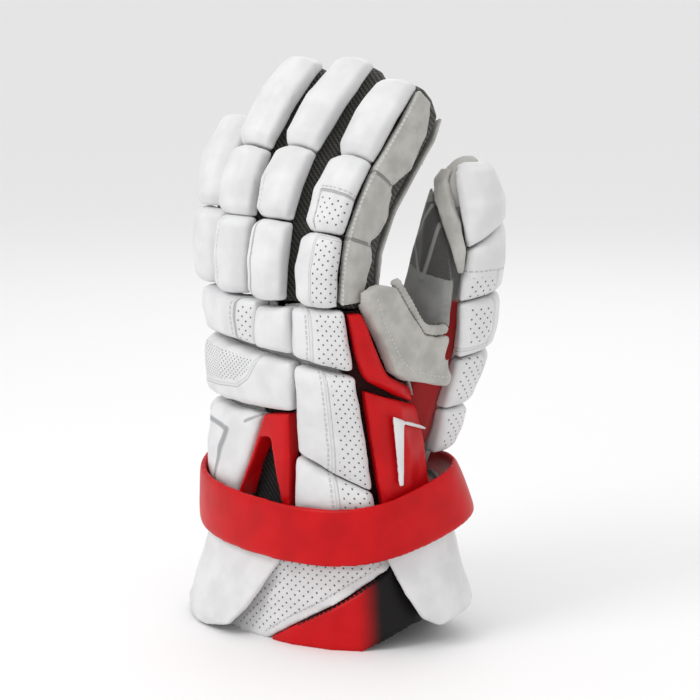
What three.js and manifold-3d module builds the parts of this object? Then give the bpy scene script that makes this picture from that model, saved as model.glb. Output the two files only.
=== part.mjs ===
// A left-hand lacrosse glove standing on its cuff: fingers up (+Z), back of the hand towards -Y,
// thumb side towards +X. Millimetres. The origin is below the middle of its bounding box, on the floor.
import * as THREE from "three";
import { mergeVertices } from "three/addons/utils/BufferGeometryUtils.js";
import Module from "manifold-3d";

const wasm = await Module();
wasm.setup();

// Driving sizes.
const KNUCKLE_HEIGHT = 170; // cuff edge to the roots of the fingers
const HALF_BREADTH = 66; // half the width of the body at the wrist
const HALF_DEPTH = 50; // half the depth of the body under the strap
const FINGER_LENGTH = 134; // knuckle to tip along the back of the middle finger
const FINGER_PITCH = 32; // spacing of the fingers across the hand
const FINGER_GAP = 1.6; // clear space between neighbouring fingers
const FINGER_DEPTH = 39; // back to front of a finger, padding included
const FINGERTIP_ROUND = 14; // length of a fingertip's rounded end
const THUMBTIP_ROUND = 24; // the same on the thumb
const THUMB_LENGTH = 158; // the thumb's base to its tip, measured upright
const THUMB_BREADTH = 44; // side to side at its widest
const THUMB_REACH = 61; // how far out the thumb's middle stands
const PAD_DEPTH = 12; // foam on the back of the hand and fingers
const FLANK_DEPTH = 8; // foam on the sides of the body
const FINGER_FLANK = 3.2; // leather and foam on the sides of a finger
const THUMB_PAD_DEPTH = 10; // foam on the back of the thumb
const THUMB_FLANK = 2.8; // suede on the sides of the thumb
const PALM_SUEDE = 1.6; // leather on the palm side
const WALL = 2.2; // the glove's own cloth and leather
const SEAM = 1.6; // groove between neighbouring pads
const CLEARANCE = 0.4; // between pieces laid on each other
const PAD_ROLL = 4; // how far a pad's rim falls away
const CUFF_HEIGHT = 66; // the wrist cuff, floor to its top under the strap
const CUFF_INSET = 6; // the wrist cuff below the body's outer skin
const CUFF_DEPTH = 6; // its padding
const FLAP_DEPTH = 5; // thickness of the two cuff flaps
const FLAP_FLARE = 9; // how far the flaps stand out at their hems
const STRAP_WIDTH = 28.5;
const STRAP_HEIGHT = 58; // its middle above the floor, at the front
const STRAP_DEPTH = 3.4;
const TRIM_DEPTH = 2.2; // the raised trim on the thumb side
const WELT_ROUND = 2.6; // radius of the pleated roll along the thumb crotch

const DEG = Math.PI / 180;
const WHITE = { color: 0xe9e9e7, roughness: 0.55, metalness: 0 };
const RED = { color: 0xc20f12, roughness: 0.45, metalness: 0 };
const SUEDE = { color: 0xb0afa8, roughness: 0.95, metalness: 0 };
const GREY = { color: 0x70716d, roughness: 0.95, metalness: 0 };
const MESH = { color: 0x3f403c, roughness: 0.9, metalness: 0 };

// Body sections, bottom to top: shares of KNUCKLE_HEIGHT, HALF_BREADTH and HALF_DEPTH.
const BODY = [
  { at: 0.0, x: 0.0, y: 0.0, a: 1.1, b: 1.12, n: 2.2, yaw: 0 },
  { at: 0.35, x: 0.0, y: -0.04, a: 1.03, b: 1.0, n: 2.3, yaw: 0 },
  { at: 0.59, x: 0.015, y: -0.26, a: 0.985, b: 0.76, n: 2.5, yaw: -3 },
  { at: 0.82, x: 0.08, y: -0.48, a: 0.94, b: 0.66, n: 2.7, yaw: -6 },
  { at: 1.0, x: 0.09, y: -0.66, a: 0.95, b: 0.5, n: 2.8, yaw: -7 },
];

// Thumb sections: shares of THUMB_LENGTH above its base, of THUMB_REACH, and of half THUMB_BREADTH.
const THUMB_BASE = 80;
const THUMB = [
  { at: 0.0, x: 0.56, y: 0.23, a: 0.91, b: 0.91 },
  { at: 0.13, x: 0.62, y: 0.31, a: 1.0, b: 1.0 },
  { at: 0.28, x: 0.72, y: 0.345, a: 1.04, b: 1.13 },
  { at: 0.44, x: 0.885, y: 0.39, a: 1.04, b: 1.1 },
  { at: 0.69, x: 0.99, y: 0.45, a: 0.96, b: 1.0 },
  { at: 0.85, x: 1.04, y: 0.48, a: 0.83, b: 0.85 },
  { at: 1.0, x: 1.06, y: 0.49, a: 0.78, b: 0.8 },
];

// Fingers: place across the hand in pitches, back of the root in half depths, segment lengths
// as shares of FINGER_LENGTH, and the lean from upright at the root, at each seam and at the tip.
const FINGERS = [
  { name: "index", across: 1.46, back: -1.23, segments: [0.285, 0.315, 0.385], leans: [-4, 19, 40, 40] },
  { name: "middle", across: 0.45, back: -1.26, segments: [0.31, 0.3, 0.475], leans: [-2, 14, 39, 49] },
  { name: "ring", across: -0.53, back: -1.14, segments: [0.295, 0.28, 0.475], leans: [0, 7, 31, 53] },
  { name: "pinky", across: -1.51, back: -0.85, segments: [0.295, 0.46], leans: [-3, 2, 55] },
];
const SEGMENT_NAMES = { 2: ["middle", "distal"], 3: ["proximal", "middle", "distal"] };

// Smooth value of a table's column between its rows.
function blend(rows, column, at) {
  const last = rows.length - 1;
  let i = 0;
  while (i < last - 1 && at > rows[i + 1].at) i += 1;
  const slope = (k) => {
    const low = rows[Math.max(k - 1, 0)];
    const high = rows[Math.min(k + 1, last)];
    return (high[column] - low[column]) / (high.at - low.at);
  };
  const span = rows[i + 1].at - rows[i].at;
  const t = Math.min(Math.max((at - rows[i].at) / span, 0), 1);
  const rise = t * t * (3 - 2 * t);
  const start = t * (1 - t) * (1 - t) * span * slope(i);
  const end = t * t * (t - 1) * span * slope(i + 1);
  return rows[i][column] * (1 - rise) + rows[i + 1][column] * rise + start + end;
}

function smooth(value) {
  const t = Math.min(Math.max(value, 0), 1);
  return t * t * (3 - 2 * t);
}

// How deep the padding is at an angle round a limb: 0 is the back, 90 the thumb side, 180 the palm.
function layerOf(back, side, palm) {
  return (degrees) => {
    const turn = Math.abs(((degrees + 540) % 360) - 180);
    const fromBack = side + (back - side) * smooth((90 - turn) / 45);
    return turn <= 90 ? fromBack : palm + (side - palm) * smooth((140 - turn) / 50);
  };
}

const bodyLayer = layerOf(PAD_DEPTH, FLANK_DEPTH, PALM_SUEDE);
const fingerLayer = layerOf(PAD_DEPTH, FINGER_FLANK, PALM_SUEDE);
const fingerBacking = layerOf(PAD_DEPTH - CLEARANCE, FINGER_FLANK - 1.5 * CLEARANCE, PALM_SUEDE);
const thumbLayer = layerOf(THUMB_PAD_DEPTH, THUMB_FLANK, PALM_SUEDE);

// The frame of an upright limb at a height: middle, directions across and inward, half sizes.
function bodyAt(z) {
  const at = z / KNUCKLE_HEIGHT;
  const yaw = blend(BODY, "yaw", at) * DEG;
  return {
    origin: new THREE.Vector3(blend(BODY, "x", at) * HALF_BREADTH, blend(BODY, "y", at) * HALF_DEPTH, z),
    across: new THREE.Vector3(Math.cos(yaw), Math.sin(yaw), 0),
    inward: new THREE.Vector3(-Math.sin(yaw), Math.cos(yaw), 0),
    a: blend(BODY, "a", at) * HALF_BREADTH,
    b: blend(BODY, "b", at) * HALF_DEPTH,
    n: blend(BODY, "n", at),
    taper: 1,
  };
}

// The same for the thumb, whose back faces +X.
function thumbAt(z) {
  const at = (z - THUMB_BASE) / THUMB_LENGTH;
  const end = (at * THUMB_LENGTH - THUMB_LENGTH + THUMBTIP_ROUND) / THUMBTIP_ROUND;
  return {
    origin: new THREE.Vector3(blend(THUMB, "x", at) * THUMB_REACH, blend(THUMB, "y", at) * THUMB_REACH, z),
    across: new THREE.Vector3(0, 1, 0),
    inward: new THREE.Vector3(-1, 0, 0),
    a: (blend(THUMB, "a", at) * THUMB_BREADTH) / 2,
    b: (blend(THUMB, "b", at) * THUMB_BREADTH) / 2,
    n: 2.6,
    taper: Math.sqrt(1 - Math.min(Math.max(end, 0), 1) ** 2),
  };
}

// A finger's frame at a distance along its back, from the leans at its seams.
function fingerAt(finger) {
  const length = finger.segments.reduce((sum, share) => sum + share, 0) * FINGER_LENGTH;
  const stops = finger.segments.reduce((list, share) => [...list, list.at(-1) + share * FINGER_LENGTH], [0]);
  const leanAt = (s) => {
    let i = 0;
    while (i < stops.length - 2 && s > stops[i + 1]) i += 1;
    const t = Math.min(Math.max((s - stops[i]) / (stops[i + 1] - stops[i]), 0), 1);
    return (finger.leans[i] * (1 - t) + finger.leans[i + 1] * t) * DEG;
  };
  const STEPS = 24;
  return {
    length,
    stops,
    at: (s) => {
      const back = new THREE.Vector3(finger.across * FINGER_PITCH, finger.back * HALF_DEPTH, KNUCKLE_HEIGHT);
      for (let k = 0; k < STEPS; k += 1) {
        const lean = leanAt(((k + 0.5) / STEPS) * s);
        back.y += (Math.sin(lean) * s) / STEPS;
        back.z += (Math.cos(lean) * s) / STEPS;
      }
      const lean = leanAt(s);
      const inward = new THREE.Vector3(0, Math.cos(lean), -Math.sin(lean));
      const end = (s - length + FINGERTIP_ROUND) / FINGERTIP_ROUND;
      return {
        origin: back.addScaledVector(inward, FINGER_DEPTH / 2),
        across: new THREE.Vector3(1, 0, 0),
        inward,
        a: (FINGER_PITCH - FINGER_GAP) / 2,
        b: FINGER_DEPTH / 2,
        n: 3,
        taper: Math.sqrt(1 - Math.min(Math.max(end, 0), 1) ** 2),
      };
    },
  };
}

// A point of a limb's skin at an angle, sunk in by an inset.
function skinPoint(frame, degrees, inset) {
  const s = Math.sin(degrees * DEG);
  const c = Math.cos(degrees * DEG);
  const k = (Math.abs(s) ** frame.n + Math.abs(c) ** frame.n) ** (-1 / frame.n) * frame.taper;
  return frame.origin
    .clone()
    .addScaledVector(frame.across, (frame.a - inset) * k * s)
    .addScaledVector(frame.inward, -(frame.b - inset) * k * c);
}

// A closed body from triangles of points, turned to face outwards.
function closedBody(points, faces) {
  let volume = 0;
  for (const [a, b, c] of faces) {
    volume += points[a].dot(points[b].clone().cross(points[c]));
  }
  const turned = volume < 0 ? faces.map(([a, b, c]) => [a, c, b]) : faces;
  const geometry = new THREE.BufferGeometry().setFromPoints(points);
  geometry.setIndex(turned.flat());
  return geometry;
}

// A plate between an outer and an inner grid of points.
function plate(outer, inner) {
  const rows = outer.length;
  const columns = outer[0].length;
  const points = [...outer.flat(), ...inner.flat()];
  const id = (side, i, j) => side * rows * columns + i * columns + j;
  const faces = [];
  const quad = (a, b, c, d) => faces.push([a, b, c], [a, c, d]);
  for (let i = 0; i < rows - 1; i += 1) {
    for (let j = 0; j < columns - 1; j += 1) {
      quad(id(0, i, j), id(0, i, j + 1), id(0, i + 1, j + 1), id(0, i + 1, j));
      quad(id(1, i, j), id(1, i + 1, j), id(1, i + 1, j + 1), id(1, i, j + 1));
    }
    quad(id(0, i, 0), id(0, i + 1, 0), id(1, i + 1, 0), id(1, i, 0));
    quad(id(0, i + 1, columns - 1), id(0, i, columns - 1), id(1, i, columns - 1), id(1, i + 1, columns - 1));
  }
  for (let j = 0; j < columns - 1; j += 1) {
    quad(id(0, 0, j + 1), id(0, 0, j), id(1, 0, j), id(1, 0, j + 1));
    quad(id(0, rows - 1, j), id(0, rows - 1, j + 1), id(1, rows - 1, j + 1), id(1, rows - 1, j));
  }
  return closedBody(points, faces);
}

// A body through rings of points; its two ends close on their middles, or on each other.
function ringBody(rings, looped) {
  const sides = rings[0].length;
  const points = rings.flat();
  const faces = [];
  const last = looped ? rings.length : rings.length - 1;
  for (let i = 0; i < last; i += 1) {
    for (let j = 0; j < sides; j += 1) {
      const a = i * sides + j;
      const b = i * sides + ((j + 1) % sides);
      const c = ((i + 1) % rings.length) * sides + ((j + 1) % sides);
      const d = ((i + 1) % rings.length) * sides + j;
      faces.push([a, b, c], [a, c, d]);
    }
  }
  if (!looped) {
    for (const [ring, flip] of [[0, true], [rings.length - 1, false]]) {
      const middle = new THREE.Vector3();
      rings[ring].forEach((point) => middle.addScaledVector(point, 1 / sides));
      points.push(middle);
      for (let j = 0; j < sides; j += 1) {
        const a = ring * sides + j;
        const b = ring * sides + ((j + 1) % sides);
        faces.push(flip ? [points.length - 1, b, a] : [points.length - 1, a, b]);
      }
    }
  }
  return closedBody(points, faces);
}

function ring(frame, sides, inset) {
  return Array.from({ length: sides }, (_, j) => {
    const degrees = (j / sides) * 360;
    return skinPoint(frame, degrees, inset(degrees));
  });
}

function solidOf(geometry) {
  const loose = geometry.clone();
  loose.deleteAttribute("normal");
  loose.deleteAttribute("uv");
  const bare = loose.index ? loose : mergeVertices(loose, 1e-4);
  return new wasm.Manifold(
    new wasm.Mesh({
      numProp: 3,
      vertProperties: new Float32Array(bare.attributes.position.array),
      triVerts: new Uint32Array(bare.index.array),
    }),
  );
}

function geometryOf(solid) {
  const mesh = solid.getMesh();
  const geometry = new THREE.BufferGeometry();
  geometry.setAttribute("position", new THREE.BufferAttribute(new Float32Array(mesh.vertProperties), 3));
  geometry.setIndex(new THREE.BufferAttribute(new Uint32Array(mesh.triVerts), 1));
  return geometry;
}

// A geometry with others cut out of it; only its largest body is kept.
function cut(geometry, others) {
  let solid = solidOf(geometry);
  for (const other of others) solid = solid.subtract(solidOf(other));
  const bodies = solid.decompose().sort((p, q) => q.volume() - p.volume());
  return geometryOf(bodies[0]);
}

// Shares along a pad's side, closer together at the rims where it rolls over.
const PAD_SHARES = [0, 0.1, 0.5, 0.9, 1];

// A pad or panel on a limb. Its rows run up the limb, each from one angle and height to another.
function panel(frameAt, rows, style) {
  const { depth, lift = 0, roll = PAD_ROLL, reach, grow = 0, seam = SEAM } = style;
  const { shares = PAD_SHARES, across = PAD_SHARES } = style;
  const first = rows[0];
  const final = rows.at(-1);
  const span = (u1, z1, u2, z2) => Math.hypot((u2 - u1) * DEG * reach, z2 - z1);
  const height =
    (span(first.leftU, first.leftZ, final.leftU, final.leftZ) +
      span(first.rightU, first.rightZ, final.rightU, final.rightZ)) / 2;
  const width =
    (span(first.leftU, first.leftZ, first.rightU, first.rightZ) +
      span(final.leftU, final.leftZ, final.rightU, final.rightZ)) / 2;
  const trimZ = (seam / 2 - grow) / Math.max(height, seam, 1);
  const trimU = (seam / 2 - grow) / Math.max(width, seam, 1);
  const rowAt = (share) => {
    const place = Math.min(Math.max(share, 0), 1) * (rows.length - 1);
    const i = Math.min(Math.floor(place), rows.length - 2);
    const t = place - i + (share < 0 ? share : 0) + (share > 1 ? share - 1 : 0);
    const mix = (key) => rows[i][key] * (1 - t) + rows[i + 1][key] * t;
    return { leftU: mix("leftU"), leftZ: mix("leftZ"), rightU: mix("rightU"), rightZ: mix("rightZ") };
  };
  const dome = (share) => 1 - Math.abs(2 * share - 1) ** 6;
  const outer = [];
  const inner = [];
  for (const i of shares) {
    const row = rowAt(trimZ + i * (1 - 2 * trimZ));
    const grids = [[], []];
    for (const j of across) {
      const t = trimU + j * (1 - 2 * trimU);
      const degrees = row.leftU * (1 - t) + row.rightU * t;
      const frame = frameAt(row.leftZ * (1 - t) + row.rightZ * t);
      const deep = typeof depth === "function" ? depth(degrees) : depth;
      const fall = Math.min(roll, (deep + lift) / 2) * (1 - dome(i) * dome(j));
      grids[0].push(skinPoint(frame, degrees, fall - lift - grow));
      grids[1].push(skinPoint(frame, degrees, deep + grow));
    }
    outer.push(grids[0]);
    inner.push(grids[1]);
  }
  return plate(outer, inner);
}

// Corner rows: lower left, lower right, upper right, upper left, each an angle and a height share.
function cornerRows([[lu, lz], [ru, rz], [tu, tz], [su, sz]], unit) {
  return [
    { leftU: lu, leftZ: lz * unit, rightU: ru, rightZ: rz * unit },
    { leftU: su, leftZ: sz * unit, rightU: tu, rightZ: tz * unit },
  ];
}

// Pads on the back and side of the hand: corners as angles and shares of KNUCKLE_HEIGHT.
const HAND_PADS = [
  { name: "knuckle_pad_ulnar", corners: [[-100, 0.885], [-0.5, 0.865], [0, 0.995], [-100, 1.0]] },
  { name: "knuckle_pad_middle", corners: [[0, 0.862], [26.5, 0.862], [26, 0.997], [0.5, 0.98]] },
  { name: "knuckle_pad_index", corners: [[27, 0.858], [65.5, 0.822], [63, 1.0], [26.5, 0.997]] },
  { name: "metacarpal_pad_ulnar", corners: [[-100, 0.66], [23, 0.69], [26.5, 0.832], [-100, 0.875]] },
  { name: "metacarpal_pad_radial", corners: [[23.5, 0.57], [62, 0.465], [66, 0.81], [28, 0.828]] },
  { name: "wrist_pad_radial", corners: [[19.5, 0.398], [62, 0.398], [62, 0.462], [22, 0.562]] },
  { name: "wrist_pad_ulnar", corners: [[-100, 0.398], [-19, 0.398], [1.5, 0.66], [-100, 0.65]] },
];

const BODY_REACH = 50; // mean radius of the body, which turns a groove's width into an angle
const PAD_EDGE = 84; // how far round a finger its pads wrap
const INNER_PAD_EDGE = 60; // the same on the side towards the thumb, where mesh or suede shows
const FINGER_SHARES = [0, 0.1, 0.3, 0.5, 0.7, 0.9, 1];
const parts = [];
function piece(name, look, geometry) {
  const plain = geometry.clone();
  plain.computeVertexNormals();
  const mesh = new THREE.Mesh(plain, new THREE.MeshStandardMaterial({ ...look, flatShading: true }));
  mesh.name = name;
  parts.push(mesh);
  return plain;
}

// The body's outer skin, its hollow and the shell between them.
const BODY_SIDES = 20;
const SHELL_FOOT = 50;
const shoulder = (z, degrees) => {
  const palm = smooth((Math.abs(((degrees + 540) % 360) - 180) - 95) / 60);
  return palm * 11 * smooth((z - 0.88 * KNUCKLE_HEIGHT) / (0.12 * KNUCKLE_HEIGHT)) ** 2;
};
// The shell draws in at its foot to pass inside the wrist cuff.
const SHELL_DRAW = 17; // height over which it does so
const footInset = (z, degrees) => {
  const drawn = 1 - smooth((z - CUFF_HEIGHT - 1) / SHELL_DRAW);
  return bodyLayer(degrees) * (1 - drawn) + (CUFF_INSET + CUFF_DEPTH) * drawn;
};
function bodyRings(low, high, extra) {
  const shares = [0.09, 0.22, 0.4, 0.6, 0.78, 0.9];
  const levels = shares.map((share) => CUFF_HEIGHT + (high - CUFF_HEIGHT) * share);
  return [low, CUFF_HEIGHT + 1, ...levels, high].map((z) =>
    ring(bodyAt(z), BODY_SIDES, (u) => footInset(z, u) + shoulder(z, u) + extra),
  );
}
const shellTop = KNUCKLE_HEIGHT - CLEARANCE;
const bodyOuter = ringBody(bodyRings(SHELL_FOOT, shellTop, CLEARANCE), false);
const bodyKeepOut = ringBody(bodyRings(SHELL_FOOT - CLEARANCE, shellTop + CLEARANCE, 0), false);
const bodyInner = ringBody(bodyRings(SHELL_FOOT - 2, shellTop - WALL, CLEARANCE + WALL), false);

// A finger or thumb sleeve: its outside, its hollow and the stretch of it.
function sleeveRings(frameAt, low, high, sides, inset, count) {
  return Array.from({ length: count }, (_, i) => {
    const share = Math.sin(((i / (count - 1)) * Math.PI) / 2) ** 0.8;
    return ring(frameAt(low + (high - low) * share), sides, inset);
  });
}

const SLEEVE_SIDES = 8;
const fingerLimbs = FINGERS.map((finger) => ({ ...finger, ...fingerAt(finger) }));
const fingerBores = fingerLimbs.map((limb) =>
  ringBody(
    sleeveRings(limb.at, -12, limb.length - 2 * WALL, SLEEVE_SIDES, (u) => fingerLayer(u) + CLEARANCE + WALL, 9),
    false,
  ),
);
const thumbTop = THUMB_BASE + THUMB_LENGTH;
const thumbBore = ringBody(
  sleeveRings(thumbAt, THUMB_BASE + 14, thumbTop - 2 * WALL, 16, (u) => thumbLayer(u) + CLEARANCE + WALL, 10),
  false,
);
const thumbOuter = ringBody(
  sleeveRings(thumbAt, THUMB_BASE, thumbTop - 0.5, 16, (u) => thumbLayer(u) + CLEARANCE, 10),
  false,
);
const thumbSkin = ringBody(sleeveRings(thumbAt, THUMB_BASE - 1, thumbTop, 16, () => -2 * CLEARANCE, 10), false);
const thumbKeepOut = ringBody(sleeveRings(thumbAt, THUMB_BASE - 1, thumbTop, 16, (u) => thumbLayer(u), 10), false);

piece("hand_shell", MESH, cut(bodyOuter, [bodyInner, thumbBore, ...fingerBores]));

// Pads of the body, cut to lie on the shell and clear of the thumb's root.
for (const { name, corners } of HAND_PADS) {
  const rows = cornerRows(corners, KNUCKLE_HEIGHT);
  const wide = Math.abs(corners[1][0] - corners[0][0]) > 60;
  const across = wide ? [0, 0.04, 0.2, 0.4, 0.6, 0.8, 0.96, 1] : PAD_SHARES;
  piece(name, WHITE, cut(panel(bodyAt, rows, { depth: bodyLayer, reach: BODY_REACH, across }), [bodyKeepOut]));
}

// The red frame round the vent at the back of the wrist: a panel with a gap that is open below.
const ventRows = cornerRows([[-18, 0.398], [18.5, 0.398], [21.5, 0.685], [3.5, 0.668]], KNUCKLE_HEIGHT);
const ventGap = cornerRows([[-16.5, 0.36], [15, 0.36], [9, 0.602], [2, 0.596]], KNUCKLE_HEIGHT);
const ventGapCutter = panel(bodyAt, ventGap, {
  depth: 2 * PAD_DEPTH,
  lift: PAD_DEPTH / 2,
  roll: 0,
  seam: 0,
  reach: BODY_REACH,
  shares: [0, 1],
  across: [0, 0.5, 1],
});
piece(
  "vent_frame",
  RED,
  cut(panel(bodyAt, ventRows, { depth: bodyLayer, lift: -1, roll: 2, reach: BODY_REACH }), [
    bodyKeepOut,
    ventGapCutter,
  ]),
);

// The red padded roll down the thumb side and along below the web patch.
const ROLL = [
  { leftU: 66, leftZ: 0.993, rightU: 84, rightZ: 0.993 },
  { leftU: 67, leftZ: 0.93, rightU: 90, rightZ: 0.95 },
  { leftU: 69, leftZ: 0.83, rightU: 94, rightZ: 0.87 },
  { leftU: 76, leftZ: 0.79, rightU: 100, rightZ: 0.81 },
  { leftU: 100, leftZ: 0.745, rightU: 104, rightZ: 0.795 },
  { leftU: 127, leftZ: 0.7, rightU: 128, rightZ: 0.755 },
];
const heights = (rows, unit) => rows.map((row) => ({ ...row, leftZ: row.leftZ * unit, rightZ: row.rightZ * unit }));
const flankStyle = { depth: bodyLayer, reach: BODY_REACH, lift: 0, roll: 3 };
const rollRows = heights(ROLL, KNUCKLE_HEIGHT);
const rollShares = [0, 0.1, 0.3, 0.5, 0.6, 0.7, 0.85, 1];
const rollAcross = [0, 0.25, 0.5, 0.75, 1];
const sideRoll = cut(panel(bodyAt, rollRows, { ...flankStyle, shares: rollShares, across: rollAcross }), [
  bodyKeepOut,
]);
piece("side_roll", RED, sideRoll);

// The red wrist pad on the thumb side, and the raised trim on it.
const WRIST = [
  { leftU: 65, leftZ: 0.398, rightU: 100, rightZ: 0.398 },
  { leftU: 66, leftZ: 0.53, rightU: 122, rightZ: 0.53 },
  { leftU: 68, leftZ: 0.66, rightU: 131, rightZ: 0.645 },
  { leftU: 70, leftZ: 0.775, rightU: 132, rightZ: 0.695 },
];
const wristPad = cut(panel(bodyAt, heights(WRIST, KNUCKLE_HEIGHT), { ...flankStyle, roll: 2.5 }), [bodyKeepOut]);
piece("radial_wrist_pad", RED, wristPad);
const flankKeepOut = [
  panel(bodyAt, heights(WRIST, KNUCKLE_HEIGHT), { ...flankStyle, depth: 20, grow: CLEARANCE, roll: 0 }),
  panel(bodyAt, rollRows, {
    ...flankStyle,
    depth: 20,
    grow: CLEARANCE,
    roll: 0,
    shares: rollShares,
    across: rollAcross,
  }),
];
const TRIM = [
  { leftU: 77.5, leftZ: 0.485, rightU: 80.5, rightZ: 0.485 },
  { leftU: 82, leftZ: 0.57, rightU: 87.5, rightZ: 0.57 },
  { leftU: 88, leftZ: 0.69, rightU: 96, rightZ: 0.662 },
  { leftU: 107, leftZ: 0.662, rightU: 109, rightZ: 0.642 },
  { leftU: 122, leftZ: 0.634, rightU: 122.5, rightZ: 0.626 },
];
const trimStyle = { depth: -CLEARANCE, lift: TRIM_DEPTH + CLEARANCE, roll: 0.8, seam: 0, reach: BODY_REACH };
piece(
  "radial_trim",
  WHITE,
  cut(panel(bodyAt, heights(TRIM, KNUCKLE_HEIGHT), { ...trimStyle, across: [0, 0.5, 1] }), flankKeepOut),
);

// Fingers: a sleeve each, a suede strip on the palm side and padded backs.
const handBlock = ringBody(
  [SHELL_FOOT, 0.6 * KNUCKLE_HEIGHT, 0.8 * KNUCKLE_HEIGHT, KNUCKLE_HEIGHT].map((z) =>
    ring(bodyAt(z), BODY_SIDES, () => -PAD_ROLL),
  ),
  false,
);
for (const limb of fingerLimbs) {
  const rings = sleeveRings(limb.at, -6, limb.length, SLEEVE_SIDES, (u) => fingerLayer(u) + CLEARANCE, 9);
  const bore = fingerBores[FINGERS.findIndex(({ name }) => name === limb.name)];
  piece(`${limb.name}_sleeve`, MESH, cut(ringBody(rings, false), [bore, handBlock]));
  const palmRows = [
    { leftU: 135, leftZ: 6, rightU: 225, rightZ: 6 },
    {
      leftU: 135,
      leftZ: limb.length - FINGERTIP_ROUND / 2,
      rightU: 225,
      rightZ: limb.length - FINGERTIP_ROUND / 2,
    },
  ];
  const palmStyle = {
    depth: PALM_SUEDE / 2,
    lift: PALM_SUEDE - CLEARANCE,
    roll: 0.3,
    reach: FINGER_PITCH / 2,
  };
  piece(
    `${limb.name}_palm`,
    SUEDE,
    panel(limb.at, palmRows, { ...palmStyle, shares: [0, 0.25, 0.5, 0.75, 0.9, 1], across: [0, 0.33, 0.67, 1] }),
  );
  const names = SEGMENT_NAMES[limb.segments.length];
  limb.segments.forEach((_, k) => {
    const tip = k === limb.segments.length - 1;
    const low = limb.stops[k] + (k === 0 ? CLEARANCE : 0);
    const high = tip ? limb.length - FINGERTIP_ROUND / 3 : limb.stops[k + 1];
    const rows = [
      { leftU: -PAD_EDGE, leftZ: low, rightU: INNER_PAD_EDGE, rightZ: low },
      { leftU: -PAD_EDGE, leftZ: high, rightU: INNER_PAD_EDGE, rightZ: high },
    ];
    const style = { depth: fingerBacking, reach: FINGER_PITCH / 2, across: FINGER_SHARES };
    piece(`${limb.name}_pad_${names[k]}`, WHITE, panel(limb.at, rows, style));
  });
}

// Three stitched suede lobes on the thumb side of the index finger.
const index = fingerLimbs[0];
const LOBES = [
  { at: 0.0, reach: 100 },
  { at: 0.14, reach: 128 },
  { at: 0.28, reach: 116 },
  { at: 0.31, reach: 104 },
  { at: 0.36, reach: 122 },
  { at: 0.46, reach: 130 },
  { at: 0.57, reach: 118 },
  { at: 0.6, reach: 104 },
  { at: 0.66, reach: 124 },
  { at: 0.78, reach: 130 },
  { at: 0.9, reach: 118 },
  { at: 1.0, reach: 98 },
];
const lobeTop = index.length - FINGERTIP_ROUND / 2;
const lobeRows = LOBES.map(({ at, reach }) => ({
  leftU: INNER_PAD_EDGE,
  leftZ: 1 + at * (lobeTop - 1),
  rightU: reach,
  rightZ: 1 + at * (lobeTop - 1),
}));
const indexKeepOut = ringBody(
  sleeveRings(index.at, -6, index.length + CLEARANCE, SLEEVE_SIDES, (u) => fingerLayer(u), 9),
  false,
);
piece(
  "index_side_suede",
  SUEDE,
  cut(
    panel(index.at, lobeRows, {
      depth: fingerLayer,
      lift: 0.6,
      roll: 1,
      reach: FINGER_PITCH / 2,
      shares: LOBES.map(({ at }) => at),
      across: [0, 0.3, 0.65, 1],
    }),
    [indexKeepOut, handBlock],
  ),
);

// A row across the thumb: an angle and a share of its length at each end.
const thumbRow = (leftU, leftZ, rightU, rightZ) => ({
  leftU,
  leftZ: THUMB_BASE + leftZ * THUMB_LENGTH,
  rightU,
  rightZ: THUMB_BASE + rightZ * THUMB_LENGTH,
});
// The suede web between index finger and thumb: a plate across the thumb side, with a dipped top
// edge that carries a pleated roll. Shares of KNUCKLE_HEIGHT for heights and of HALF_DEPTH for places.
const WEB = [
  { back: -0.84, low: 1.02, high: 1.05, out: 1.05 },
  { back: -0.72, low: 0.95, high: 1.062, out: 1.06 },
  { back: -0.6, low: 0.89, high: 1.065, out: 1.065 },
  { back: -0.48, low: 0.815, high: 1.055, out: 1.07 },
  { back: -0.32, low: 0.788, high: 0.99, out: 1.075 },
  { back: -0.12, low: 0.775, high: 0.912, out: 1.085 },
  { back: 0.04, low: 0.762, high: 0.9, out: 1.1 },
  { back: 0.16, low: 0.756, high: 0.902, out: 1.11 },
  { back: 0.22, low: 0.765, high: 0.885, out: 1.1 },
];
const WEB_DEPTH = 9;
function webPlate(grow) {
  const levels = [0, 0.15, 0.5, 0.85, 1];
  const side = (sink) =>
    WEB.map(({ back, low, high, out }, k) => {
      const end = k === 0 ? -grow : k === WEB.length - 1 ? grow : 0;
      return levels.map((t) => {
        const z = (low * (1 - t) + high * t) * KNUCKLE_HEIGHT + (2 * t - 1) * grow;
        const rim = t === 0 || t === 1 || end ? 1 : 0;
        const outward = out * HALF_BREADTH - sink - (sink < 2 ? rim : 0) * 0.8;
        return new THREE.Vector3(outward, back * HALF_DEPTH + end, z);
      });
    });
  return plate(side(-grow), side(WEB_DEPTH + grow));
}
const thumbBlock = (low, high) =>
  panel(thumbAt, [thumbRow(-42, low, 80, low), thumbRow(-42, high, 80, high)], {
    depth: thumbLayer,
    lift: 1,
    roll: 0,
    grow: CLEARANCE,
    reach: THUMB_BREADTH / 2,
  });
const indexLobes = (grow) =>
  panel(index.at, lobeRows, {
    depth: fingerLayer,
    lift: 0.6,
    roll: grow ? 0 : 1,
    grow,
    reach: FINGER_PITCH / 2,
    shares: LOBES.map(({ at }) => at),
    across: [0, 0.3, 0.65, 1],
  });
const webCurve = new THREE.CatmullRomCurve3(
  WEB.slice(3, 8).map(
    ({ back, high, out }) =>
      new THREE.Vector3(out * HALF_BREADTH - WELT_ROUND, back * HALF_DEPTH, high * KNUCKLE_HEIGHT + WELT_ROUND + 0.6),
  ),
);
const weltShape = new THREE.Shape().absarc(0, 0, WELT_ROUND, 0, 2 * Math.PI);
const weltTube = new THREE.ExtrudeGeometry(weltShape, { steps: 14, curveSegments: 4, extrudePath: webCurve });
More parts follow.
